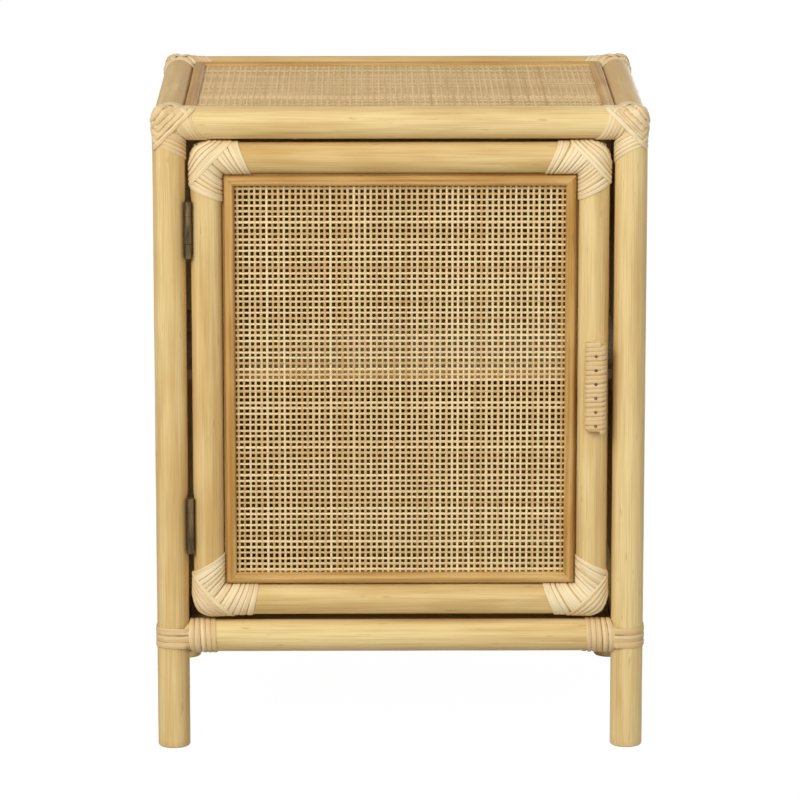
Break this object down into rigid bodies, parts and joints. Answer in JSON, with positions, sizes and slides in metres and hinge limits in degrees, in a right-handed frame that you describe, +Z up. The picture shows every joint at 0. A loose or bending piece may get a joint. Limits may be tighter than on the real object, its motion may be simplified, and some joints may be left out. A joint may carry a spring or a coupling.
{
  "type": "storage side table",
  "caption": "Rattan storage side table: bound pole frame on legs, cane-covered top and walls, an inner shelf, and a hinged door with open cane and a wrapped handle.",
  "frame": {"origin": "on the floor, in the middle of the four legs", "axes": "+Z up, the door faces -Y, +X to the right as seen from the front"},
  "size_m": [0.4522, 0.3634, 0.6011],
  "materials": {
    "rattan": "clear satin lacquer over straw-yellow rattan poles",
    "binding": "pale peeled rattan strip, satin",
    "trim": "honey-brown split cane, satin",
    "open_cane": "open square cane weave, satin",
    "closed_cane": "close cane weave, satin",
    "plywood": "stained plywood",
    "shelf_wood": "lacquered board",
    "aged_brass": "dark aged brass",
    "steel": "zinc plated",
    "catch_plastic": "brown moulded plastic",
    "magnet": "dull ferrite"
  },
  "bodies": {
    "cabinet": {"back_board": "plywood", "back_cane": "closed_cane", "back_trim": "trim", "board_bearers": "rattan", "bottom_board": "plywood", "cabinet_screws": "steel", "catch_body": "catch_plastic", "catch_magnet": "magnet", "frame_screws": "steel", "front_left_leg": "rattan", "front_right_leg": "rattan", "hinge_frame_leaves": "aged_brass", "hinge_pins": "aged_brass", "left_side_board": "plywood", "left_side_cane": "closed_cane", "left_side_trim": "trim", "lower_front_left_binding": "binding", "lower_front_rail": "rattan", "lower_front_right_binding": "binding", "lower_left_rail": "rattan", "lower_rear_left_binding": "binding", "lower_rear_rail": "rattan", "lower_rear_right_binding": "binding", "lower_right_rail": "rattan", "rear_left_leg": "rattan", "rear_right_leg": "rattan", "right_side_board": "plywood", "right_side_cane": "closed_cane", "right_side_trim": "trim", "shelf": "shelf_wood", "shelf_battens": "shelf_wood", "top_board": "plywood", "top_cane": "closed_cane", "top_trim": "trim", "upper_front_left_binding": "binding", "upper_front_rail": "rattan", "upper_front_right_binding": "binding", "upper_left_rail": "rattan", "upper_rear_left_binding": "binding", "upper_rear_rail": "rattan", "upper_rear_right_binding": "binding", "upper_right_rail": "rattan"},
    "door": {"door_bottom_rail": "rattan", "door_cane": "open_cane", "door_dowels": "shelf_wood", "door_front_trim": "trim", "door_handle_stile": "rattan", "door_hinge_stile": "rattan", "door_lower_left_binding": "binding", "door_lower_right_binding": "binding", "door_rear_trim": "trim", "door_screws": "steel", "door_top_rail": "rattan", "door_upper_left_binding": "binding", "door_upper_right_binding": "binding", "handle_binding": "binding", "handle_core": "rattan", "handle_tacks": "aged_brass", "hinge_door_leaves": "aged_brass", "strike_plate": "steel"}
  },
  "joints": [
    {"name": "door_hinge", "type": "hinge", "parent": "cabinet", "child": "door", "pos_m": [-0.1928, -0.171, 0.35], "axis": [0, 0, -1], "range_deg": [0, 135]}
  ]
}
